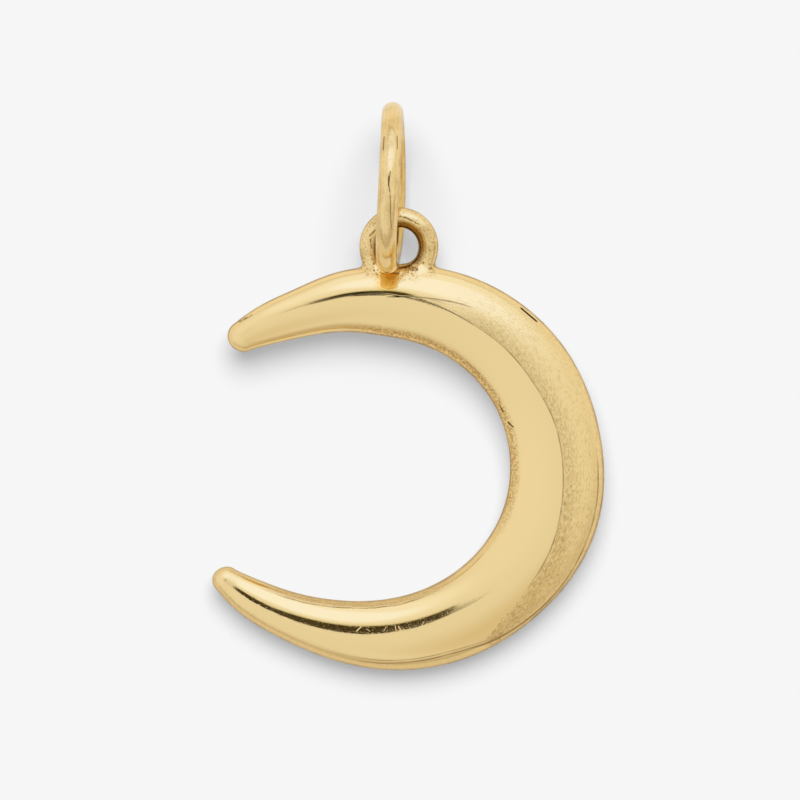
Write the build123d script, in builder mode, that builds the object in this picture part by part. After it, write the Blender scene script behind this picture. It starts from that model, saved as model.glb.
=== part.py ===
"""Crescent moon pendant: a domed crescent with a soldered eye, and a round-wire jump ring through the eye.

The pendant is drawn flat, its mid-plane on XY and its front towards +Z, with the moon's centre at the origin
and the hanging end towards +Y. It is then laid down as it rests on a table: on the underside of the jump ring
and on the back of the limb. Lengths are in millimetres and angles in degrees.
"""

import os
from math import atan2, cos, degrees, radians, sin, sqrt

from build123d import *

# Moon: the limb follows a centre line round the moon's centre, and its domed front and back are alike
moon_radius = 8.75  # to the limb's centre line, where the limb is widest
limb_width = 4.8  # at its widest
limb_thickness = 2.8  # where it is widest
tip_thickness = 1.35  # where the arms' round ends begin
crown_offset = 0.3  # from the middle of the width out to the crown, where the limb is widest

# Sections of the limb, from the lower tip round to the upper one, as shares of moon_radius and limb_width
limb_rows = [
    # angle, radius, width
    (-144.0, 1.107, 0.288),
    (-136.0, 1.065, 0.398),
    (-124.0, 1.013, 0.488),
    (-108.0, 0.973, 0.608),
    (-88.0, 0.961, 0.742),
    (-64.0, 0.966, 0.850),
    (-40.0, 0.981, 0.925),
    (-16.0, 1.001, 1.000),
    (8.0, 0.992, 0.971),
    (32.0, 0.986, 0.940),
    (56.0, 0.971, 0.885),
    (74.0, 0.957, 0.819),
    (88.0, 0.949, 0.742),
    (104.0, 0.970, 0.633),
    (118.0, 0.996, 0.510),
    (129.0, 1.046, 0.425),
    (136.8, 1.090, 0.329),
]

# Eye: a ring of round wire that stands on the limb's outer edge, in the pendant's mid-plane
eye_outer_diameter = 3.95
eye_wire = 1.0
eye_angle = 85.8  # round the moon's centre
eye_sink = 1.06  # how far the eye is let into the edge
solder_bead = 0.86  # diameter of the bead at each foot of the eye

# Jump ring: closed round wire, standing across the eye and wedged between the eye's top and the limb's edge
ring_outer_diameter = 8.6
ring_wire = 1.06
ring_gap = 0.1  # between the ring and what it is wedged against, in the plane across the eye's middle
ring_sideways = -0.4  # from the eye's centre
ring_lean = 2.5  # its front leans towards the arms
ring_roll = 1.8  # its top leans away from the arms

rest_angle_on_limb = -42.0  # round the moon's centre, where the limb's back touches the floor

front = Vector(0, 0, 1)


def polar(radius, angle):
    return Vector(radius * cos(radians(angle)), radius * sin(radians(angle)))


def limb_at(angle):
    """Radius of the limb's centre line and width of the limb at an angle between two rows of the table."""
    for before, after in zip(limb_rows, limb_rows[1:]):
        if before[0] <= angle <= after[0]:
            along = (angle - before[0]) / (after[0] - before[0])
            radius, width = (low + (high - low) * along for low, high in zip(before[1:], after[1:]))
            return moon_radius * radius, limb_width * width
    raise ValueError(f"no limb at {angle} degrees")


def fullness(width):
    """How far a width is from the tips' towards the widest: 0 at a tip, 1 where the limb is widest."""
    tip_width = limb_width * max(limb_rows[0][2], limb_rows[-1][2])
    return max(0, (width - tip_width) / (limb_width - tip_width))


def half_thickness(width):
    return (tip_thickness + (limb_thickness - tip_thickness) * fullness(width)) / 2


def section_arcs(width, quarters):
    """Quarters of the oval section, counted from the outer edge: its plane's x points outward, y to the front."""
    crown = crown_offset * fullness(width)
    for quarter in quarters:
        reach = width / 2 - crown if quarter in (0, 3) else width / 2 + crown
        EllipticalCenterArc((crown, 0), reach, half_thickness(width), start_angle=90 * quarter, arc_size=90)


# Centre line of the limb, with a plane across it at each row of the table
with BuildLine() as limb_line:
    Spline(*[polar(moon_radius * radius, angle) for angle, radius, _ in limb_rows])

limb_planes = []
for angle, radius, _ in limb_rows:
    centre = polar(moon_radius * radius, angle)
    tangent = limb_line.edge().tangent_at(limb_line.edge().param_at_point(centre))
    limb_planes.append(Plane(centre, x_dir=tangent.cross(front), z_dir=-tangent))

# Eye: where the limb's outer edge passes under it, and where the wire's feet meet that edge
eye_limb_radius, eye_limb_width = limb_at(eye_angle)
eye_edge = eye_outer_diameter / 2 - eye_sink  # from the eye's centre down to the limb's edge
eye_centre = polar(eye_limb_radius + eye_limb_width / 2 + eye_edge, eye_angle)
foot_reach = sqrt((eye_outer_diameter / 2) ** 2 - eye_edge**2)
eye_feet = [eye_centre + Vector(side * foot_reach, -eye_edge) for side in (-1, 1)]

# Jump ring: its inside clears the eye's top wire and its outside clears the limb's rounded edge by ring_gap.
# Both are circles about points of the mid-plane, so the ring's centre is where two circles cross.
edge_rounding = 2 * half_thickness(eye_limb_width) ** 2 / eye_limb_width
eye_wire_height = (eye_outer_diameter - eye_wire) / 2
from_wire = ring_outer_diameter / 2 - ring_wire - eye_wire / 2 - ring_gap
from_edge = ring_outer_diameter / 2 + edge_rounding + ring_gap
edge_to_wire = edge_rounding + eye_edge + eye_wire_height
ring_height = (from_edge**2 - from_wire**2 + edge_to_wire**2) / (2 * edge_to_wire)
ring_front = sqrt(from_edge**2 - ring_height**2)
ring_centre = eye_centre + Vector(ring_sideways, ring_height - edge_rounding - eye_edge, ring_front)
ring_axis = Vector(1, 0, 0).rotate(Axis.Y, -ring_lean).rotate(Axis.Z, -ring_roll)

# Rest: the jump ring's underside reaches lower than the limb's back, so the hanging end is raised by rest_tilt
rest_radius, rest_width = limb_at(rest_angle_on_limb)
rest_drop = ring_outer_diameter / 2 - ring_front - half_thickness(rest_width)
rest_tilt = degrees(atan2(rest_drop, ring_centre.Y - polar(rest_radius, rest_angle_on_limb).Y))

# Crescent: the lofted limb, half a turn of the last section at each arm's end, the eye and its solder
with BuildPart() as crescent:
    for plane, (_, _, width) in zip(limb_planes, limb_rows):
        with BuildSketch(plane):
            with BuildLine():
                section_arcs(limb_width * width, (0, 1, 2, 3))
            make_face()
    loft()
    for plane, row, turn in ((limb_planes[0], limb_rows[0], -180), (limb_planes[-1], limb_rows[-1], 180)):
        with BuildSketch(plane):
            with BuildLine():
                section_arcs(limb_width * row[2], (3, 0))
                Line((0, tip_thickness / 2), (0, -tip_thickness / 2))
            make_face()
        revolve(axis=Axis(plane.origin, front), revolution_arc=turn)
    with Locations(eye_centre):
        Torus(eye_wire_height, eye_wire / 2)
    with Locations(*eye_feet):
        Sphere(solder_bead / 2)

with BuildPart(Plane(ring_centre, z_dir=ring_axis)) as jump_ring:
    Torus((ring_outer_diameter - ring_wire) / 2, ring_wire / 2)

# The pendant is laid down, its lowest point on the floor and its box centred over the origin
crescent.part = crescent.part.rotate(Axis.X, rest_tilt)
jump_ring.part = jump_ring.part.rotate(Axis.X, rest_tilt)
box = Compound([crescent.part, jump_ring.part]).bounding_box()
rest = Location((-box.center().X, -box.center().Y, -box.min.Z))
crescent.part = rest * crescent.part
jump_ring.part = rest * jump_ring.part

os.makedirs("parts", exist_ok=True)
crescent.part.label = "crescent"
jump_ring.part.label = "jump_ring"
export_step(crescent.part, "parts/crescent.step")
export_step(jump_ring.part, "parts/jump_ring.step")
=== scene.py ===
"""The look of a crescent moon pendant that lies on a pale surface, seen from straight above.

Two pieces: the crescent, whose limb, eye and solder are one smooth skin, and the jump ring. Both are made in
the pendant's own frame, its mid-plane on XY, the moon's centre at the origin and the hanging end towards +Y,
and are then laid down where the solids of the frame lie. Lengths are in metres and angles in degrees.
"""

from math import cos, pi, radians, sin, tan

import bpy
import numpy as np
from mathutils import Matrix, Vector


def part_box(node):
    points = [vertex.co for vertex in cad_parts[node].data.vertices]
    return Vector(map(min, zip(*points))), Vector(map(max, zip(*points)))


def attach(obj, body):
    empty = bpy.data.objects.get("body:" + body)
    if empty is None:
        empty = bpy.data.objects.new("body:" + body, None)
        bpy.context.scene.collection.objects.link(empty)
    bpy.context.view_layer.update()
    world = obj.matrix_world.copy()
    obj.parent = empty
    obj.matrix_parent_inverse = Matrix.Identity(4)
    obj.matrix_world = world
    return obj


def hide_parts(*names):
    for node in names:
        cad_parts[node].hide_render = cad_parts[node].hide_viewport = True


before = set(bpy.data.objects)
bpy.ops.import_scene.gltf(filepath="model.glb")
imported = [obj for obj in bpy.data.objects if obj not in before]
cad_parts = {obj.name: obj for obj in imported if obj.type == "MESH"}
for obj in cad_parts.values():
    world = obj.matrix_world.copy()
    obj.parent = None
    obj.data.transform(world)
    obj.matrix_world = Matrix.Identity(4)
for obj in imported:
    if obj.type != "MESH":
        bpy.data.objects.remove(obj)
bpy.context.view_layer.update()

mm = 0.001

# Moon
moon_radius = 8.75 * mm
limb_width = 4.8 * mm
limb_thickness = 2.8 * mm
tip_thickness = 1.35 * mm

# Sections of the limb, from the lower tip to the upper one. Radius and width are shares of moon_radius and
# limb_width, the crown is its place as a share of half the width, outward from the middle, and the ridge is
# the exponent of the section's profile: 2 gives an oval, and less gives a soft ridge along the crown.
limb_rows = [
    # angle, radius, width, crown, ridge
    (-144.0, 1.104, 0.288, 0.12, 2.00),
    (-136.0, 1.065, 0.398, 0.15, 2.00),
    (-124.0, 1.013, 0.488, 0.15, 2.00),
    (-108.0, 0.973, 0.608, 0.10, 2.00),
    (-88.0, 0.961, 0.742, 0.02, 2.10),
    (-64.0, 0.966, 0.850, -0.08, 2.10),
    (-40.0, 0.981, 0.925, 0.02, 1.95),
    (-16.0, 1.001, 0.993, 0.14, 1.82),
    (8.0, 0.992, 0.966, 0.10, 1.76),
    (32.0, 0.986, 0.940, 0.02, 1.76),
    (56.0, 0.971, 0.885, 0.00, 1.80),
    (74.0, 0.957, 0.819, 0.03, 1.90),
    (88.0, 0.949, 0.742, 0.12, 2.00),
    (104.0, 0.970, 0.633, 0.07, 2.00),
    (118.0, 0.996, 0.510, 0.10, 2.00),
    (129.0, 1.046, 0.425, 0.13, 2.00),
    (136.8, 1.090, 0.329, 0.06, 2.00),
]

# The crease between the limb's satin side and its polished side: share of half the width, outward
crease_rows = [
    # angle, share, how much steeper the satin side falls away
    (-61.0, 0.84, 0.00),
    (-55.0, 0.60, 0.03),
    (-47.0, 0.47, 0.05),
    (-38.0, 0.36, 0.05),
    (-28.0, 0.28, 0.05),
    (-16.0, 0.18, 0.05),
    (0.0, 0.12, 0.05),
    (15.0, 0.09, 0.05),
    (28.0, 0.01, 0.06),
    (45.0, -0.01, 0.08),
    (60.0, 0.00, 0.12),
    (72.0, 0.075, 0.13),
    (78.0, 0.12, 0.07),
    (84.0, 0.17, 0.04),
    (92.0, 0.225, 0.04),
    (99.0, 0.215, 0.03),
    (107.0, 0.205, 0.01),
    (116.0, 0.27, 0.00),
    (122.0, 0.34, 0.00),
]
crease_reach = 0.8 * mm  # over which the steeper fall eases off
crease_rounding = 0.03 * mm
crease_span = (-60, -54), (112, 122)  # the angles over which the steeper fall fades in and out

# A fine dark line along the limb's outer shoulder, a painted reflection of the dark horizon: share of half
# the width, outward
horizon_reflection_rows = [
    # angle, share
    (-112.0, 0.84),
    (-100.0, 0.812),
    (-88.0, 0.787),
    (-76.0, 0.757),
    (-70.0, 0.755),
    (-64.0, 0.790),
    (-58.0, 0.850),
    (-52.0, 0.885),
    (-45.0, 0.905),
    (-33.0, 0.915),
    (-25.0, 0.89),
    (-8.0, 0.87),
    (12.0, 0.85),
]

# A second fine line above the crease, under the eye, a painted reflection of the dark streak's upper edge
upper_rows = [
    # angle, share
    (56.0, 0.37),
    (63.0, 0.31),
    (72.0, 0.227),
    (80.0, 0.18),
    (88.0, 0.15),
]

# Eye
eye_outer_diameter = 3.95 * mm
eye_wire = 1.0 * mm
eye_angle = 85.8
eye_sink = 1.06 * mm
solder_fillet = 0.36 * mm

# Jump ring: wrung a little out of its plane, like any ring that was opened and closed with pliers
ring_outer_diameter = 8.6 * mm
ring_wire = 1.06 * mm
ring_lean = 2.5
ring_roll = 1.8
ring_wring = (-0.044 * mm, 0.040 * mm)  # with the cosine and with the sine of twice the turn
ring_polish = 0.006 * mm  # worn off the wire by polishing

rest_tilt = 2.44  # of the hanging end, up off the floor

# Hand finishing: half the height of its waves, and their length
broad_waves = (0.005 * mm, 4.2 * mm)
satin_waves = (0.0015 * mm, 0.9 * mm)
solder_lumps = (0.009 * mm, 0.55 * mm)
satin_edge = 0.1 * mm  # past the crease, over which the satin's waves set in
satin_span = (-60, -54), (50, 74)  # the angles over which they fade in and out

# Fineness of the meshes
net_step = 0.08 * mm
ring_steps = 320
wire_steps = 64
normal_reach = 0.002 * mm  # over which the skin's slope is measured
tip_reach = 0.16 * mm  # added to it near the tips, where it softens the gloss

# Camera: the photograph is 800 pixels wide at 0.05 mm a pixel, centred here in the frame
view_width = 40.0 * mm
view_centre = Vector((-0.413, -0.677, 1.5)) * mm
camera_distance = 1.0


def cubic_table(rows):
    """A function that gives the rows' columns, and how they change, at any angle, on cubic curves."""
    table = np.array(rows, float)
    angle, values = table[:, 0], table[:, 1:]
    step = np.diff(angle)[:, None]
    slope = np.diff(values, axis=0) / step
    system = np.eye(len(angle))
    known = np.zeros_like(values)
    for i in range(1, len(angle) - 1):
        system[i, i - 1 : i + 2] = step[i - 1, 0], 2 * (step[i - 1, 0] + step[i, 0]), step[i, 0]
        known[i] = 6 * (slope[i] - slope[i - 1])
    bend = np.linalg.solve(system, known)

    def at(wanted):
        wanted = np.clip(wanted, angle[0], angle[-1])
        i = np.clip(np.searchsorted(angle, wanted) - 1, 0, len(angle) - 2)
        b = ((wanted - angle[i])[..., None]) / step[i]
        a = 1 - b
        value = a * values[i] + b * values[i + 1]
        value += ((a**3 - a) * bend[i] + (b**3 - b) * bend[i + 1]) * step[i] ** 2 / 6
        change = slope[i] + ((1 - 3 * a * a) * bend[i] + (3 * b * b - 1) * bend[i + 1]) * step[i] / 6
        return value, change

    return at


limb_at = cubic_table(limb_rows)
crease_at = cubic_table(crease_rows)
horizon_reflection_at = cubic_table(horizon_reflection_rows)
upper_at = cubic_table(upper_rows)
first_angle, last_angle = limb_rows[0][0], limb_rows[-1][0]


def smoothstep(low, high, x):
    t = np.clip((x - low) / (high - low), 0, 1)
    return t * t * (3 - 2 * t)


def window(low, high, x):
    """1 between the two middle angles, falling to 0 at the outer ones."""
    return smoothstep(*low, x) * (1 - smoothstep(*high, x))


def centre_line(angle):
    """Point of the limb's centre line at an angle, and the unit tangent there."""
    value, change = limb_at(angle)
    radius, growth = moon_radius * value[..., 0], moon_radius * change[..., 0] * 180 / pi
    c, s = np.cos(np.radians(angle)), np.sin(np.radians(angle))
    point = np.stack([radius * c, radius * s], -1)
    tangent = np.stack([growth * c - radius * s, growth * s + radius * c], -1)
    return point, tangent / np.linalg.norm(tangent, axis=-1, keepdims=True)


def section_at(angle):
    """Half width, crown, ridge exponent and half thickness of the limb's section at an angle."""
    value, _ = limb_at(angle)
    half_width = limb_width * value[..., 1] / 2
    tip_width = limb_width * max(limb_rows[0][2], limb_rows[-1][2])
    full = np.clip((2 * half_width - tip_width) / (limb_width - tip_width), 0, None)
    half_thickness = (tip_thickness + (limb_thickness - tip_thickness) * full) / 2
    return half_width, half_width * value[..., 2], value[..., 3], half_thickness


def foot_of(x, y, steps=5):
    """Angle of the centre line's nearest point, the offset outward from it, and how far past a tip."""
    angle = np.clip(np.degrees(np.arctan2(y, x)), first_angle, last_angle)
    for step in range(steps):
        point, tangent = centre_line(angle)
        dx, dy = x - point[..., 0], y - point[..., 1]
        along = dx * tangent[..., 0] + dy * tangent[..., 1]
        offset = dx * tangent[..., 1] - dy * tangent[..., 0]
        if step < steps - 1:
            bend = np.maximum(moon_radius + offset, 0.4 * moon_radius)
            angle = np.clip(angle + np.degrees(along / bend), first_angle, last_angle)
    past_tip = ((angle <= first_angle) & (along < 0)) | ((angle >= last_angle) & (along > 0))
    return angle, offset, np.where(past_tip, np.abs(along), 0)


def limb_field(foot, z):
    """About the distance from the limb's surface, less than 0 inside."""
    angle, offset, past = foot
    half_width, crown, ridge, half_thickness = section_at(angle)
    side = offset - crown
    reach = np.where(side > 0, half_width - crown, half_width + crown)
    u, v, w = np.abs(side) / reach, z / half_thickness, past / half_width
    rho = np.sqrt(u**ridge + v * v + w * w)
    growth = (ridge / 2 * u ** (ridge - 1) / reach) ** 2 + (v / half_thickness) ** 2 + (w / half_width) ** 2
    least = 0.3 / half_width  # the slope would vanish at the centre line
    return (rho - 1) / np.maximum(np.sqrt(growth) / np.maximum(rho, 1e-9), least)


# The eye stands on the limb's outer edge
eye_foot, _ = centre_line(np.array(eye_angle))
eye_direction = Vector((cos(radians(eye_angle)), sin(radians(eye_angle)), 0))
eye_rise = float(section_at(np.array(eye_angle))[0]) + eye_outer_diameter / 2 - eye_sink
eye_centre = Vector((float(eye_foot[0]), float(eye_foot[1]), 0)) + eye_direction * eye_rise
eye_middle_radius = (eye_outer_diameter - eye_wire) / 2


def eye_field(x, y, z):
    from_axis = np.hypot(x - eye_centre.x, y - eye_centre.y)
    return np.hypot(from_axis - eye_middle_radius, z) - eye_wire / 2


def smooth_union(a, b, fillet):
    h = np.clip(0.5 + 0.5 * (b - a) / fillet, 0, 1)
    return b + (a - b) * h - fillet * h * (1 - h)


def ripple(x, y, z, length, seed):
    """A smooth value from -1 to 1, the same on each run: six waves of about that length, each its own way."""
    total = 0
    for k in range(6):
        turn = radians(47 * k + 31 * seed)
        often = (0.8 + 0.12 * k) * 2 * pi / length
        wave = x * cos(turn) + y * sin(turn) + z * cos(1.7 * k + seed)
        total = total + np.sin(wave * often + 2.1 * k + seed)
    return total / 6


def solder_share(limb, eye):
    """1 in the solder where the eye meets the limb, 0 well away from it."""
    return 1 - smoothstep(0.1 * mm, 0.7 * mm, np.abs(limb) + np.abs(eye))


def raised(x, y, z, height, length, seed):
    """Waves of that length that stand from 0 to twice the height above the plain form."""
    return height * (1 - ripple(x, y, z, length, seed))


def finish_depth(foot, x, y, z, solder):
    """How far the surface lies below its plain form, less than 0 where it stands above it: the satin side
    falls away from its crease, soft waves of hand finishing run all over, closer ones on the satin side, and
    the solder is lumpy."""
    angle, offset, _ = foot
    crease, _ = crease_at(angle)
    past = offset - crease[..., 0] * section_at(angle)[0]
    edge = 0.5 * (past + np.hypot(past, crease_rounding))
    fall = crease[..., 1] * edge * np.exp(-edge / crease_reach) * window(*crease_span, angle)
    satin = smoothstep(0, satin_edge, past) * window(*satin_span, angle)
    broad = raised(x, y, z, *broad_waves, seed=1)
    close = raised(x, y, z, *satin_waves, seed=2) * satin
    lumps = raised(x, y, z, *solder_lumps, seed=3) * solder
    return fall - broad - close - lumps


def plain_field(x, y, z):
    return smooth_union(limb_field(foot_of(x, y), z), eye_field(x, y, z), solder_fillet)


def crescent_field(x, y, z):
    foot = foot_of(x, y)
    limb, eye = limb_field(foot, z), eye_field(x, y, z)
    return smooth_union(limb, eye, solder_fillet) + finish_depth(foot, x, y, z, solder_share(limb, eye))


def gradient(field, points, reach=normal_reach):
    """Unit normals of a field at points, each from its values that far away along the axes."""
    reach = np.broadcast_to(reach, len(points))[:, None]
    steps = [reach * axis for axis in np.eye(3)]
    way = np.stack([field(*(points + step).T) - field(*(points - step).T) for step in steps], -1)
    return way / np.linalg.norm(way, axis=-1, keepdims=True)


def net_mesh(field, low, high, step):
    """A closed mesh of field's zero surface inside a box: one point for each mixed cell of a grid."""
    axes = [np.arange(a, b + step, step) for a, b in zip(low, high)]
    value = field(*np.meshgrid(*axes, indexing="ij", sparse=True))
    inside = value < 0
    shape = np.array(value.shape) - 1
    corners = [(i, j, k) for i in (0, 1) for j in (0, 1) for k in (0, 1)]

    def shifted(a, i, j, k):
        return a[i : i + shape[0], j : j + shape[1], k : k + shape[2]]

    count = sum(shifted(inside, *c).astype(np.int8) for c in corners)
    cells = np.argwhere((count > 0) & (count < 8))
    total, crossings = np.zeros((len(cells), 3)), np.zeros(len(cells))
    for corner in corners:
        for axis in range(3):
            if corner[axis]:
                continue
            a = cells + corner
            b = a.copy()
            b[:, axis] += 1
            va, vb = value[tuple(a.T)], value[tuple(b.T)]
            cut = (va < 0) != (vb < 0)
            share = np.where(cut, va / np.where(cut, va - vb, 1), 0)
            place = a.astype(float)
            place[:, axis] += share
            total[cut] += place[cut]
            crossings[cut] += 1
    points = np.array([a[0] for a in axes]) + total / crossings[:, None] * step
    index = -np.ones(shape, int)
    index[tuple(cells.T)] = np.arange(len(cells))
    faces = []
    for axis in range(3):
        one, two = (axis + 1) % 3, (axis + 2) % 3
        a = np.argwhere(np.diff(inside.astype(np.int8), axis=axis) != 0)
        around = []
        for d1, d2 in ((-1, -1), (0, -1), (0, 0), (-1, 0)):
            cell = a.copy()
            cell[:, one] += d1
            cell[:, two] += d2
            around.append(index[tuple(cell.T)])
        quads = np.stack(around, -1)
        flip = ~inside[tuple(a.T)]
        quads[flip] = quads[flip][:, ::-1]
        faces += quads.tolist()
    return points, faces


def new_object(name, points, faces):
    mesh = bpy.data.meshes.new(name)
    mesh.from_pydata([tuple(p) for p in points], [], faces)
    mesh.validate()
    mesh.update()
    obj = bpy.data.objects.new(name, mesh)
    bpy.context.scene.collection.objects.link(obj)
    return obj


def points_of(obj):
    co = np.empty(len(obj.data.vertices) * 3)
    obj.data.vertices.foreach_get("co", co)
    return co.reshape(-1, 3)


def set_points(obj, points):
    obj.data.vertices.foreach_set("co", np.asarray(points, np.float32).ravel())
    obj.data.update()


def set_attribute(obj, name, values):
    layer = obj.data.attributes.new(name, "FLOAT", "POINT")
    layer.data.foreach_set("value", np.asarray(values, np.float32))


def lay_down(obj, normals, node):
    """Tilts a piece as it rests, and centres its box on the box of the CAD node that it stands for."""
    turn = np.array(Matrix.Rotation(radians(rest_tilt), 3, "X"))
    points = points_of(obj) @ turn.T
    low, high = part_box(node)
    middle = (np.array(low) + np.array(high)) / 2
    points += middle - (points.min(0) + points.max(0)) / 2
    set_points(obj, points)
    obj.data.shade_smooth()
    obj.data.normals_split_custom_set_from_vertices([tuple(n) for n in normals @ turn.T])


def make_crescent():
    reach = moon_radius * limb_rows[0][1] + limb_width * 0.6
    margin = 2 * net_step
    low = (-reach, -reach, -limb_thickness / 2 - margin)
    high = (reach, eye_centre.y + eye_outer_diameter / 2 + margin, limb_thickness / 2 + margin)
    points, faces = net_mesh(plain_field, low, high, net_step)
    # Two steps along the normals bring the net's points onto the finished skin
    for _ in range(2):
        points = points - gradient(crescent_field, points) * crescent_field(*points.T)[:, None]
    limb = new_object("crescent_skin", points, faces)

    # What the material reads: the place on the limb, and the distances from its edges and lines
    foot = foot_of(points[:, 0], points[:, 1])
    angle, offset, _ = foot
    half_width = section_at(angle)[0]
    from_limb = limb_field(foot, points[:, 2])
    on_eye = smoothstep(0.03 * mm, 0.3 * mm, from_limb)
    off_limb = on_eye * 10 * mm  # keeps what is drawn on the limb away from the eye
    set_attribute(limb, "turn", angle)
    set_attribute(limb, "offset", offset)
    set_attribute(limb, "inner_rim", half_width + offset + off_limb)
    set_attribute(limb, "outer_rim", half_width - offset + off_limb)
    for name, share_at in (("crease", crease_at), ("horizon_reflection", horizon_reflection_at), ("upper_line", upper_at)):
        set_attribute(limb, name, offset - share_at(angle)[0][..., 0] * half_width + off_limb)
    set_attribute(limb, "solder", solder_share(from_limb, eye_field(*points.T)))
    set_attribute(limb, "eye", on_eye)
    # Painted shade inside the eye's hole
    from_wire = np.hypot(points[:, 0] - eye_centre.x, points[:, 1] - eye_centre.y) - eye_middle_radius
    set_attribute(limb, "eye_inside", on_eye * (1 - smoothstep(-0.26 * mm, -0.08 * mm, from_wire)))

    # Near the tips the gloss runs on smoothly from the tapered limb into its round end
    near_tip = 1 - window((first_angle + 1, first_angle + 7), (last_angle - 7, last_angle - 1), angle)
    lay_down(limb, gradient(crescent_field, points, normal_reach + tip_reach * near_tip), "crescent")
    return limb


def make_ring():
    middle = (ring_outer_diameter - ring_wire) / 2
    round_ring, round_wire = np.meshgrid(
        np.arange(ring_steps) * 2 * pi / ring_steps,
        np.arange(wire_steps) * 2 * pi / wire_steps,
        indexing="ij",
    )
    across = np.cos(round_wire)
    normals = np.stack([np.sin(round_wire), across * np.cos(round_ring), across * np.sin(round_ring)], -1)
    normals = normals.reshape(-1, 3)
    round_ring, round_wire = round_ring.ravel(), round_wire.ravel()
    spokes = np.stack([0 * round_ring, np.cos(round_ring), np.sin(round_ring)], -1)
    forward = np.stack([0 * round_ring, -np.sin(round_ring), np.cos(round_ring)], -1)
    even, odd = ring_wring
    wring = even * np.cos(2 * round_ring) + odd * np.sin(2 * round_ring)
    pitch = 2 * (odd * np.cos(2 * round_ring) - even * np.sin(2 * round_ring)) / middle
    points = spokes * middle + normals * (ring_wire / 2 - ring_polish)
    points[:, 0] += wring
    normals = normals - forward * (pitch * normals[:, 0])[:, None]
    normals /= np.linalg.norm(normals, axis=1, keepdims=True)
    turn = Matrix.Rotation(radians(-ring_roll), 3, "Z") @ Matrix.Rotation(radians(-ring_lean), 3, "Y")
    points, normals = points @ np.array(turn).T, normals @ np.array(turn).T
    faces = []
    n = wire_steps
    for i in range(ring_steps):
        for j in range(n):
            k, m = (j + 1) % n, (i + 1) % ring_steps
            faces.append((i * n + j, m * n + j, m * n + k, i * n + k))
    ring = new_object("jump_ring_wire", points, faces)
    set_attribute(ring, "turn_sin", np.sin(round_ring))
    set_attribute(ring, "turn_cos", np.cos(round_ring))
    set_attribute(ring, "wire_sin", np.sin(round_wire))
    set_attribute(ring, "wire_cos", np.cos(round_wire))
    lay_down(ring, normals, "jump_ring")
    return ring


class Nodes:
    """Short names for the shader nodes that the materials are made of."""

    def __init__(self, tree):
        self.tree = tree
        tree.nodes.clear()

    def add(self, kind, inputs=None, **settings):
        node = self.tree.nodes.new(kind)
        for name, value in settings.items():
            setattr(node, name, value)
        for name, value in (inputs or {}).items():
            socket = node.inputs[name]
            if isinstance(value, bpy.types.NodeSocket):
                self.tree.links.new(value, socket)
            else:
                socket.default_value = value
        return node

    def math(self, operation, a, b=0.0):
        return self.add("ShaderNodeMath", {0: a, 1: b}, operation=operation).outputs[0]

    def clamp(self, value):
        return self.add("ShaderNodeClamp", {0: value}).outputs[0]

    def attribute(self, name):
        return self.add("ShaderNodeAttribute", attribute_name=name).outputs["Fac"]

    def coordinates(self, kind):
        return self.add("ShaderNodeTexCoord").outputs[kind]

    def split(self, vector):
        return self.add("ShaderNodeSeparateXYZ", {0: vector}).outputs

    def vector(self, x, y, z):
        return self.add("ShaderNodeCombineXYZ", {0: x, 1: y, 2: z}).outputs[0]

    def noise(self, where, scale, detail=2.0, roughness=0.5):
        inputs = {"Vector": where, "Scale": scale, "Detail": detail, "Roughness": roughness}
        return self.add("ShaderNodeTexNoise", inputs).outputs["Fac"]

    def remap(self, value, low, high, to_low=0.0, to_high=1.0):
        inputs = {"Value": value, "From Min": low, "From Max": high, "To Min": to_low, "To Max": to_high}
        return self.add("ShaderNodeMapRange", inputs, interpolation_type="SMOOTHSTEP").outputs["Result"]

    def mix(self, share, a, b):
        return self.add("ShaderNodeMix", {0: share, 6: a, 7: b}, data_type="RGBA").outputs[2]

    def blend(self, share, a, b):
        return self.add("ShaderNodeMix", {0: share, 2: a, 3: b}, data_type="FLOAT").outputs[0]

    def paint(self, base, *coats):
        """A colour under coats of other colours, each of them given as its share and its colour."""
        colour = base
        for share, coat in coats:
            colour = self.mix(share, colour, coat)
        return colour

    def times(self, *values):
        product = values[0]
        for value in values[1:]:
            product = self.math("MULTIPLY", product, value)
        return product

    def plus(self, *values):
        total = values[0]
        for value in values[1:]:
            total = self.math("ADD", total, value)
        return total

    def about(self, noise, height):
        """A noise brought to waver about 0, by half the height either way at most."""
        return self.times(self.plus(noise, -0.5), height)

    def within(self, low, high, x):
        """1 between the two middle values, falling to 0 at the outer ones."""
        return self.times(self.remap(x, *low), self.remap(x, high[0], high[1], 1.0, 0.0))

    def line(self, distance, half_width):
        """1 on a line, falling to 0 beside it."""
        return self.remap(self.math("ABSOLUTE", distance), half_width * 0.4, half_width * 1.6, 1.0, 0.0)

    def stroke(self, place, a, b, half_width):
        """1 on a straight stroke from a to b, seen from above, that tapers to its ends."""
        (ax, ay), (bx, by) = a, b
        reach = np.hypot(bx - ax, by - ay)
        ux, uy = (bx - ax) / reach, (by - ay) / reach
        x, y, _ = self.split(place)
        along = self.plus(self.times(x, ux), self.times(y, uy), -(ax * ux + ay * uy))
        beside = self.math("ABSOLUTE", self.plus(self.times(x, -uy), self.times(y, ux), ax * uy - ay * ux))
        thick = self.remap(self.math("ABSOLUTE", self.plus(along, -reach / 2)), reach * 0.52, reach * 0.36)
        inward = self.math("SUBTRACT", self.times(thick, 1.4 * half_width), beside)
        return self.remap(inward, 0.1 * half_width, 0.7 * half_width)

    def strokes(self, place, marks):
        return self.plus(*[self.stroke(place, *mark) for mark in marks])

    def surface(self, shader):
        self.add("ShaderNodeOutputMaterial", {"Surface": shader.outputs[0]})
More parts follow.
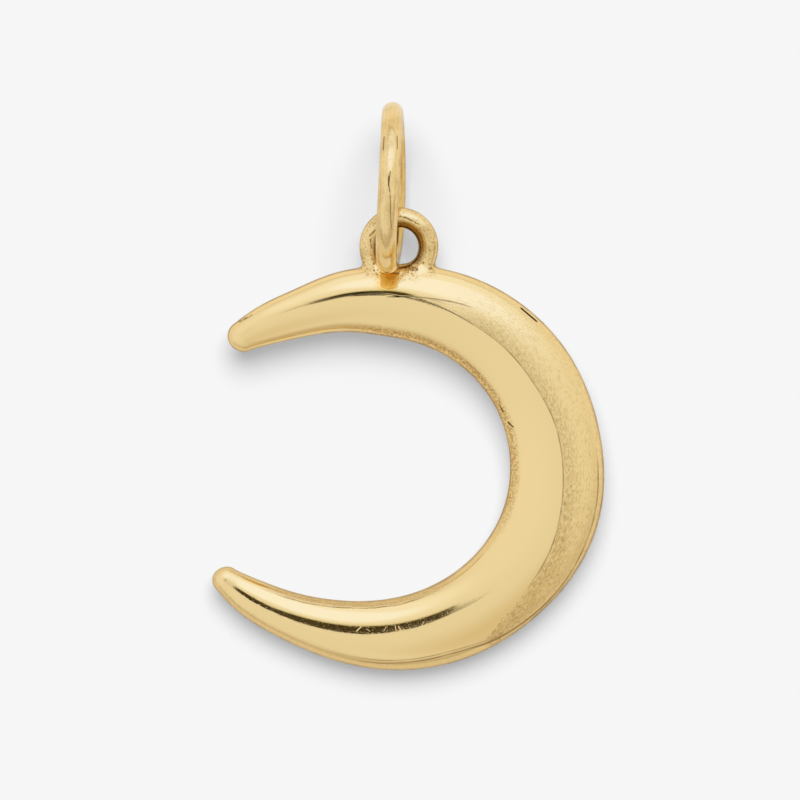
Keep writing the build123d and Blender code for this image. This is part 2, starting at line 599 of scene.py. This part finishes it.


# Colours of the gold, of its solder, pits and marks, and of the shade and reflections painted on it
gold = (0.985, 0.76, 0.37, 1)
shaded_gold = (0.50, 0.31, 0.09, 1)
orange_gold = (0.90, 0.50, 0.12, 1)
yellow_gold = (1.0, 0.80, 0.30, 1)
amber = (1.0, 0.66, 0.19, 1)
underside_shade_gold = (0.74, 0.47, 0.13, 1)
edge_shade_gold = (0.36, 0.21, 0.055, 1)
brown = (0.22, 0.12, 0.035, 1)
umber = (0.10, 0.06, 0.02, 1)
near_black = (0.012, 0.008, 0.004, 1)
relief_depth = 0.012 * mm

# The floor, and what the gold mirrors of it: painted shade, duller and warmer than the floor, darkest away
# from the hanging end, where the pendant's shadow falls
floor_colour = (0.86, 0.86, 0.865, 1)
mirrored_in_shade = (0.70, 0.645, 0.57, 1)
mirrored_above = (0.84, 0.80, 0.73, 1)
backdrop = (0.93, 0.93, 0.935, 1)


def in_frame(right, down):
    """Place in the frame of a pixel of the photograph, 800 pixels square, seen from above."""
    pixel = view_width / 800
    return view_centre.x + (right - 400) * pixel, view_centre.y - (down - 400) * pixel


# Marks on the front, from one pixel of the photograph to another
dark_marks = [
    (in_frame(519.0, 306.6), in_frame(538.4, 323.0), 0.04 * mm),
    (in_frame(507.2, 421.6), in_frame(513.8, 427.6), 0.03 * mm),
    (in_frame(499.5, 405.5), in_frame(504.0, 413.0), 0.022 * mm),
]
# Painted shade and reflection: dark strokes in the crevices at the solder and at the eye, one along the upper
# tip's edge and one under the eye's highlight
shaded_crevices = [
    (in_frame(383.0, 273.2), in_frame(401.0, 273.8), 0.05 * mm),
    (in_frame(401.5, 268.0), in_frame(412.0, 265.5), 0.07 * mm),
    (in_frame(408.0, 267.0), in_frame(418.5, 269.6), 0.10 * mm),
    (in_frame(237.9, 322.8), in_frame(253.3, 314.4), 0.04 * mm),
    (in_frame(376.0, 229.5), in_frame(368.8, 236.8), 0.04 * mm),
    (in_frame(370.2, 238.0), in_frame(371.8, 249.0), 0.03 * mm),
    (in_frame(402.5, 216.2), in_frame(419.8, 225.0), 0.04 * mm),
]
bright_scratches = [
    (in_frame(355.9, 631.6), in_frame(361.7, 626.0), 0.028 * mm),
    (in_frame(398.0, 625.4), in_frame(401.8, 631.4), 0.026 * mm),
    (in_frame(395.2, 624.8), in_frame(396.2, 631.2), 0.02 * mm),
    (in_frame(386.5, 626.5), in_frame(383.5, 631.4), 0.014 * mm),
    (in_frame(366.0, 628.5), in_frame(370.5, 631.5), 0.012 * mm),
    (in_frame(421.0, 626.4), in_frame(424.5, 621.0), 0.012 * mm),
]

# Painted reflection of the ring's orange in the limb below the ring
mirrored_ring_stroke = (in_frame(389.0, 268.0), in_frame(384.0, 292.5), 0.52 * mm)

# Painted reflections: fine dark lines along the front of the jump ring
ring_reflection_lines = [
    (in_frame(384.3, 137.0), in_frame(383.2, 153.0), 0.03 * mm),
    (in_frame(390.6, 171.5), in_frame(388.4, 186.0), 0.03 * mm),
    (in_frame(388.4, 183.0), in_frame(390.2, 195.0), 0.03 * mm),
    (in_frame(390.0, 192.0), in_frame(391.4, 233.0), 0.022 * mm),
    (in_frame(397.2, 136.0), in_frame(397.4, 152.0), 0.022 * mm),
]


def new_material(name):
    material = bpy.data.materials.new(name)
    material.use_nodes = True
    return material, Nodes(material.node_tree)


def finish_gold(n, colour, rough, height):
    """Ends a material of gold: its colour, its roughness and its fine relief."""
    relief = n.add("ShaderNodeBump", {"Strength": 1.0, "Distance": relief_depth, "Height": height}).outputs[0]
    inputs = {"Base Color": colour, "Metallic": 1.0, "Roughness": rough, "Normal": relief}
    n.surface(n.add("ShaderNodeBsdfPrincipled", inputs))


def crescent_material():
    """Polished gold with a brushed satin outer side, painted shade with wear along the inner edge, painted
    reflection lines, painted shade at the rims and crevices, and a few marks.
    """
    material, n = new_material("polished_gold")
    place = n.coordinates("Object")
    upward = n.split(n.coordinates("Normal"))[2]
    turn, offset, inner = n.attribute("turn"), n.attribute("offset"), n.attribute("inner_rim")
    crease, solder = n.attribute("crease"), n.attribute("solder")
    from_horizon_reflection, upper_line = n.attribute("horizon_reflection"), n.attribute("upper_line")
    eye, eye_inside = n.attribute("eye"), n.attribute("eye_inside")
    along = n.times(turn, radians(1) * moon_radius)

    def over(low, high):
        """1 on a stretch of the limb, which fades in and out over these angles."""
        return n.within(low, high, turn)

    def limb_noise(often_along, often_across, layer, **kind):
        """A noise that follows the limb; the layer sets it apart from the others."""
        where = n.vector(n.times(along, often_along), n.times(offset, often_across), layer)
        return n.noise(where, 1.0, **kind)

    # Noises, their scales in cells to a metre
    fine = n.noise(place, 16000, detail=2, roughness=0.7)
    speck = n.noise(place, 8000, detail=3, roughness=0.65)
    mottle = n.noise(place, 4300, detail=3, roughness=0.7)
    patches = n.noise(place, 1100, detail=3)
    grain = limb_noise(5000.0, 12000.0, 0.0, detail=3, roughness=0.65)
    worm = limb_noise(1900.0, 6000.0, 7.0)
    streaks = limb_noise(500.0, 12000.0, 3.0, detail=3)
    flecks = n.remap(limb_noise(9000.0, 19000.0, 2.0), 0.54, 0.70)

    # Where each finish lies
    jitter = n.about(patches, 0.25 * mm)
    ragged = n.about(speck, n.remap(turn, 0.0, -35.0, 0.05 * mm, 0.55 * mm))
    past_crease = n.plus(crease, n.times(jitter, 0.15), ragged)
    satin = n.times(n.remap(past_crease, -0.01 * mm, 0.06 * mm), over((-61.0, -57.0), (46.0, 76.0)))
    near_crease = n.plus(crease, jitter)
    beside_crease = n.times(satin, n.remap(near_crease, 1.0 * mm, 0.3 * mm), n.remap(turn, 72.0, 50.0))
    low_end = n.times(over((-61.0, -57.0), (-26.0, 2.0)), n.remap(near_crease, 1.5 * mm, 0.5 * mm))
    # Painted shade with wear along the inner edges: mottled darker bands where the edge mirrors the dark
    # horizon and the shadowed floor
    inward = n.plus(inner, n.about(speck, 0.45 * mm), n.times(jitter, 0.6))
    worn_and_shaded = n.times(n.remap(inward, 0.60 * mm, 0.30 * mm), over((-40.0, -12.0), (84.0, 112.0)))
    rubbed_and_shaded = n.times(n.remap(inward, 0.36 * mm, 0.28 * mm), over((-136.0, -126.0), (-66.0, -52.0)))
    # Painted shade: a mottled darker band along the outer rim
    at_rim = n.plus(n.attribute("outer_rim"), jitter, n.remap(turn, -76.0, -50.0, -0.16 * mm, 0.0))
    rim = n.times(n.remap(at_rim, 0.30 * mm, 0.12 * mm), n.remap(turn, 100.0, 70.0))
    pitted = n.times(solder, n.remap(speck, 0.54, 0.60), n.remap(patches, 0.42, 0.50))
    worms = n.times(satin, n.remap(n.math("ABSOLUTE", n.plus(worm, -0.5)), 0.022, 0.006))

    # Fine dark lines, pressed in a little: one along the crease, and painted reflections of the dark horizon
    # along the outer shoulder and the lower arm's inner edge, and of the dark streak's upper edge; paler
    # where they break up
    breaks = n.remap(limb_noise(900.0, 0.0, 5.0), 0.3, 0.62, 0.35, 1.0)
    crease_line = n.times(n.line(crease, 0.03 * mm), over((-44.0, -30.0), (112.0, 121.0)), breaks)
    horizon_reflection = n.times(n.line(from_horizon_reflection, 0.034 * mm), over((-112.0, -74.0), (-4.0, 8.0)), breaks)
    horizon_reflection_deep = n.times(n.line(from_horizon_reflection, 0.042 * mm), over((-68.0, -60.0), (-38.0, -26.0)))
    beside_horizon_reflection = n.line(n.plus(from_horizon_reflection, 0.14 * mm), 0.024 * mm)
    beside_horizon_reflection = n.times(beside_horizon_reflection, over((-112.0, -92.0), (-66.0, -56.0)), breaks, 0.7)
    inner_reflection_line = n.line(n.plus(inner, n.times(jitter, 0.5), -0.33 * mm), 0.024 * mm)
    inner_reflection_line = n.times(inner_reflection_line, over((-136.0, -124.0), (-84.0, -58.0)), breaks)
    upper = n.times(n.line(upper_line, 0.034 * mm), over((58.0, 66.0), (84.0, 90.0)), breaks)
    lines = crease_line
    for line in (horizon_reflection, horizon_reflection_deep, beside_horizon_reflection, inner_reflection_line, upper):
        lines = n.math("MAXIMUM", lines, line)
    # Painted reflection: brown between the crease and the upper line, and a dark tail along the crease's end,
    # where the dark streak runs on
    between = n.times(n.remap(crease, 0.0, 0.04 * mm), n.remap(upper_line, 0.0, -0.04 * mm))
    between = n.times(between, n.remap(streaks, 0.42, 0.58), over((67.0, 75.0), (86.0, 90.0)))
    tail = n.times(n.line(n.plus(crease, -0.035 * mm), 0.07 * mm), over((87.0, 93.0), (108.0, 118.0)))

    # Marks, painted shade in crevices and a painted reflection of the ring, on the front alone
    front = n.remap(upward, 0.05, 0.15)
    marks = n.clamp(n.times(n.strokes(place, dark_marks), front))
    # Painted shade in the crevices, mottled
    crevice_shade = n.clamp(n.times(n.strokes(place, shaded_crevices), front, n.remap(speck, 0.34, 0.52)))
    scratches = n.clamp(n.times(n.strokes(place, bright_scratches), front))
    # Painted reflection of the ring in the limb below it
    mirrored_ring = n.times(n.stroke(place, *mirrored_ring_stroke), front, 0.8)

    # Painted shade along the flanks, where the skin stands upright, seen from above as a dark outline, a
    # little lighter along their middle
    level = n.math("ABSOLUTE", upward)
    upright = n.times(n.remap(level, 0.53, 0.34), n.remap(level, 0.0, 0.22, 0.5, 1.0))
    edge_shade = n.times(upright, n.remap(patches, 0.35, 0.65, 0.5, 0.9), n.remap(turn, -80.0, -45.0, 0.6, 1.0))

    # Colour: random tone and darker patches, darker beside the crease and towards the satin's low end;
    # painted shade with wear along the inner edges, painted shade on the outer rim, in the eye's hole, in
    # crevices and on the flanks, and painted reflections
    shade = n.plus(
        n.times(satin, n.remap(turn, 40.0, -30.0, 0.0, 0.04)),
        n.times(beside_crease, n.remap(grain, 0.36, 0.64, 0.06, 0.34)),
        n.times(satin, low_end, n.remap(patches, 0.30, 0.70, 0.0, 0.18)),
        n.times(satin, n.about(grain, n.remap(turn, 60.0, -20.0, 0.6, 1.1))),
        n.times(satin, n.about(mottle, n.remap(turn, 70.0, 10.0, 0.4, 0.7))),
        n.times(worms, 0.22),
        n.times(worn_and_shaded, n.remap(speck, 0.43, 0.58, 0.02, 0.80)),
        n.times(rubbed_and_shaded, n.remap(speck, 0.38, 0.62, 0.10, 0.42)),
        n.times(rim, n.remap(speck, 0.42, 0.60, 0.0, 1.0), n.remap(turn, -76.0, -50.0, 0.20, 0.12)),
        n.times(eye, n.remap(patches, 0.42, 0.66, 0.06, 0.42)),
        n.times(eye, n.remap(speck, 0.55, 0.64, 0.0, 0.6)),
        n.about(fine, 0.10),
    )
    colour = n.paint(
        gold,
        (n.times(satin, n.remap(mottle, 0.50, 0.62), 0.18), yellow_gold),
        (n.clamp(shade), shaded_gold),
        (n.times(worn_and_shaded, n.remap(fine, 0.5, 0.64), 0.45), orange_gold),
        (n.times(solder, n.remap(patches, 0.4, 0.6, 0.05, 0.38)), orange_gold),
        (mirrored_ring, amber),
        (n.times(pitted, 0.8), brown),
        (n.times(eye_inside, n.remap(speck, 0.38, 0.62, 0.95, 0.65)), brown),
        (n.times(crevice_shade, 0.8), brown),
        (n.times(lines, 0.72), brown),
        (n.times(between, 0.55), brown),
        (n.times(tail, 0.9), umber),
        (marks, near_black),
        (edge_shade, edge_shade_gold),
    )

    # Gloss
    rough = n.remap(streaks, 0.3, 0.7, 0.03, 0.065)
    rough = n.plus(rough, n.times(flecks, n.remap(turn, -60.0, -80.0, 0.0, 0.11)))
    rough = n.blend(satin, rough, n.plus(n.remap(turn, 66.0, 25.0, 0.20, 0.34), n.about(grain, 0.3)))
    tips = n.plus(n.remap(turn, -138.0, -143.0), n.remap(turn, 130.0, 135.0))
    for share, roughness in (
        (n.math("MAXIMUM", worn_and_shaded, rubbed_and_shaded), 0.30),
        (n.times(rim, 0.7), 0.25),
        (n.times(solder, 0.6), 0.20),
        (n.times(eye, 0.6), 0.12),
        (tips, 0.27),
        (scratches, 0.7),
    ):
        rough = n.blend(share, rough, roughness)

    # Relief
    height = n.plus(
        n.times(grain, satin, 0.30),
        n.times(mottle, satin, 0.45),
        n.times(worms, -0.25),
        n.times(speck, n.math("MAXIMUM", worn_and_shaded, rubbed_and_shaded), 0.7),
        n.times(speck, n.math("MAXIMUM", rim, beside_crease), 0.30),
        n.times(pitted, -0.8),
        n.times(lines, -0.5),
        n.times(eye, speck, 0.35),
        n.times(flecks, n.remap(turn, -60.0, -80.0, 0.008, 0.035)),
        n.times(streaks, 0.02),
    )
    finish_gold(n, colour, rough, height)
    return material


def ring_material():
    """Drawn gold wire: polished, with fine lines along the wire, painted reflection lines on its front, and
    painted shade on its flanks and underside.
    """
    material, n = new_material("ring_gold")
    place = n.coordinates("Object")
    turn_sin, turn_cos = n.attribute("turn_sin"), n.attribute("turn_cos")
    wire_sin, wire_cos = n.attribute("wire_sin"), n.attribute("wire_cos")
    up = n.split(place)[2]
    drawn_at = n.vector(
        n.plus(n.times(wire_cos, 9.0), n.times(turn_cos, 1.6)),
        n.plus(n.times(wire_sin, 9.0), n.times(turn_sin, 1.6)),
        n.times(n.plus(turn_cos, turn_sin), 1.2),
    )
    drawn = n.noise(drawn_at, 1.0, detail=3, roughness=0.6)
    fine = n.noise(place, 16000, detail=2, roughness=0.7)
    speck = n.noise(place, 9000, detail=3, roughness=0.65)
    patches = n.noise(place, 1500, detail=3)

    # Painted shade: the wire's flanks are darker than its polished crown, with a darker outline where they
    # stand sideways, and its underside is darker still
    flank = n.remap(n.math("ABSOLUTE", wire_sin), 0.55, 0.98)
    outline = n.remap(n.math("ABSOLUTE", wire_sin), 0.86, 0.97)
    underside = n.remap(up, 4.3 * mm, 3.4 * mm)
    # Painted reflection lines, on the ring's upper part alone
    marks = n.clamp(n.times(n.strokes(place, ring_reflection_lines), n.remap(up, 5.0 * mm, 5.4 * mm)))
    shade = n.plus(
        n.remap(patches, 0.4, 0.7, 0.06, 0.32),
        n.times(flank, 0.18),
        n.about(drawn, 0.7),
        n.about(fine, 0.35),
        n.about(speck, 0.7),
    )
    colour = n.paint(
        gold,
        (n.clamp(shade), shaded_gold),
        (n.times(underside, n.remap(patches, 0.35, 0.65, 0.5, 1.0)), underside_shade_gold),
        (n.times(marks, 0.8), brown),
        (n.times(outline, n.remap(patches, 0.35, 0.65, 0.2, 0.45)), edge_shade_gold),
    )
    rough = n.plus(n.remap(drawn, 0.3, 0.7, 0.07, 0.14), n.times(flank, 0.06))
    height = n.plus(n.times(drawn, 0.5), n.times(fine, 0.08), n.times(speck, 0.25), n.times(patches, 0.5))
    finish_gold(n, colour, rough, height)
    return material


def make_floor():
    size = 2.0
    corners = [(-size, -size, 0), (size, -size, 0), (size, size, 0), (-size, size, 0)]
    floor = new_object("floor", corners, [(0, 1, 2, 3)])
    material, n = new_material("pale_floor")
    east, north, _ = n.split(n.coordinates("Object"))
    # Painted shade in what the gold mirrors: the floor darkens away from the hanging end
    bright = n.remap(n.plus(n.times(east, 0.3), n.times(north, 0.95)), -13.0 * mm, 13.0 * mm)
    mirrored = n.mix(bright, mirrored_in_shade, mirrored_above)
    glossy = n.add("ShaderNodeLightPath").outputs["Is Glossy Ray"]
    n.surface(n.add("ShaderNodeBsdfDiffuse", {"Color": n.mix(glossy, floor_colour, mirrored)}))
    floor.data.materials.append(material)


def make_world():
    """A white tent with a bright panel towards +Y and a dark spot straight above, for the gloss alone; the
    camera sees an even pale light, and the floor has its light from the lamps alone."""
    world = bpy.data.worlds.new("studio")
    bpy.context.scene.world = world
    world.use_nodes = True
    world.cycles.sampling_method = "NONE"  # the gloss finds all of it by itself
    n = Nodes(world.node_tree)
    way = n.coordinates("Generated")
    x, y, z = n.split(way)
    # From above, a direction is a place on a flat chart: 0 is straight up and 1 is the horizon
    depth = n.math("ADD", z, 1.0001)
    east, north = n.math("DIVIDE", x, depth), n.math("DIVIDE", y, depth)

    def chart(degrees_off):
        return tan(radians(degrees_off) / 2)

    def spot(at, size, turn, soft):
        """1 inside an oval on the chart and 0 outside; at and size are in degrees from straight up."""
        c, s = cos(radians(turn)), sin(radians(turn))
        long, wide = chart(size[0]), chart(size[1])
        dx, dy = n.math("SUBTRACT", east, chart(at[0])), n.math("SUBTRACT", north, chart(at[1]))
        a = n.plus(n.times(dx, c / long), n.times(dy, s / long))
        b = n.plus(n.times(dx, -s / wide), n.times(dy, c / wide))
        far = n.math("SQRT", n.plus(n.times(a, a), n.times(b, b)))
        return n.remap(far, 1 + soft, 1 - soft, 0.0, 1.0)

    tent = (0.80, 0.80, 0.80, 1)
    west = (0.86, 0.86, 0.88, 1)
    side = (0.71, 0.65, 0.55, 1)
    east_side = (0.85, 0.84, 0.80, 1)
    far_panel = (0.94, 0.98, 1.10, 1)
    panel = (0.99, 1.10, 1.48, 1)
    olive = (0.60, 0.60, 0.43, 1)
    dark = (0.06, 0.045, 0.022, 1)
    band = (0.24, 0.19, 0.11, 1)
    low_side = (0.56, 0.50, 0.41, 1)
    seam = (0.60, 0.46, 0.30, 1)
    # The dark spot, olive at its border, has a straight side towards -X
    beside = n.remap(n.plus(n.times(east, 0.9), n.times(north, 0.44)), chart(-5.4), chart(-5.1))
    # The band and the low side are towards the arms, and the seam is beyond the hanging end
    toward_band = n.add("ShaderNodeVectorMath", {0: way, 1: (-0.21, -0.978, 0)}, operation="DOT_PRODUCT")
    toward_band = toward_band.outputs["Value"]
    toward_side = n.plus(n.times(x, 0.5), n.times(y, -0.87))
    colour = n.paint(
        tent,
        (spot((-50, 20), (44, 50), 0, 0.6), west),
        (spot((30, -42), (28, 24), -30, 0.6), side),
        (spot((58, 14), (40, 44), 0, 0.5), east_side),
        (spot((12, 56), (46, 40), 0, 0.25), far_panel),
        (spot((10, 41), (28, 19.5), 0, 0.2), panel),
        (n.times(spot((-5.0, 9.4), (8.2, 9.0), 0, 0.12), beside), olive),
        (n.times(spot((-5.0, 7.7), (7.2, 7.8), 0, 0.05), beside), dark),
        (n.times(n.within((0.02, 0.04), (0.10, 0.13), z), n.remap(toward_band, 0.70, 0.78)), band),
        (n.times(n.remap(z, 0.55, 0.1), n.remap(toward_side, 0.1, 0.9)), low_side),
        (n.times(n.within((-0.04, -0.02), (0.02, 0.05), z), n.remap(y, 0.3, 0.6)), seam),
    )
    path = n.add("ShaderNodeLightPath").outputs
    shown = n.mix(path["Is Glossy Ray"], (0, 0, 0, 1), colour)
    shown = n.mix(path["Is Camera Ray"], shown, backdrop)
    background = n.add("ShaderNodeBackground", {"Color": shown, "Strength": 1.0})
    n.add("ShaderNodeOutputWorld", {"Surface": background.outputs[0]})


def make_lamp(name, energy, spread, tilt, shadow):
    light = bpy.data.lights.new(name, "SUN")
    light.energy = energy
    light.angle = radians(spread)
    light.use_shadow = shadow
    lamp = bpy.data.objects.new(name, light)
    lamp.rotation_euler = (radians(tilt), 0, 0)
    lamp.visible_glossy = False
    bpy.context.scene.collection.objects.link(lamp)


def make_light():
    """A broad soft key that leans in from beyond the ring, and an even fill that casts no shadow."""
    make_lamp("key", energy=1.98, spread=44, tilt=-25, shadow=True)
    make_lamp("fill", energy=1.58, spread=10, tilt=0, shadow=False)


def make_camera():
    data = bpy.data.cameras.new("camera")
    data.lens = data.sensor_width * camera_distance / view_width
    data.clip_start, data.clip_end = 0.05, 10
    camera = bpy.data.objects.new("camera", data)
    camera.location = view_centre + Vector((0, 0, camera_distance))
    bpy.context.scene.collection.objects.link(camera)
    bpy.context.scene.camera = camera


crescent = make_crescent()
crescent.data.materials.append(crescent_material())
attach(crescent, "root")
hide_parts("crescent")

ring = make_ring()
ring.data.materials.append(ring_material())
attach(ring, "root")
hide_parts("jump_ring")

make_floor()
make_world()
make_light()
make_camera()

scene = bpy.context.scene
scene.view_settings.view_transform = "Standard"
scene.view_settings.look = "None"
scene.cycles.caustics_reflective = False
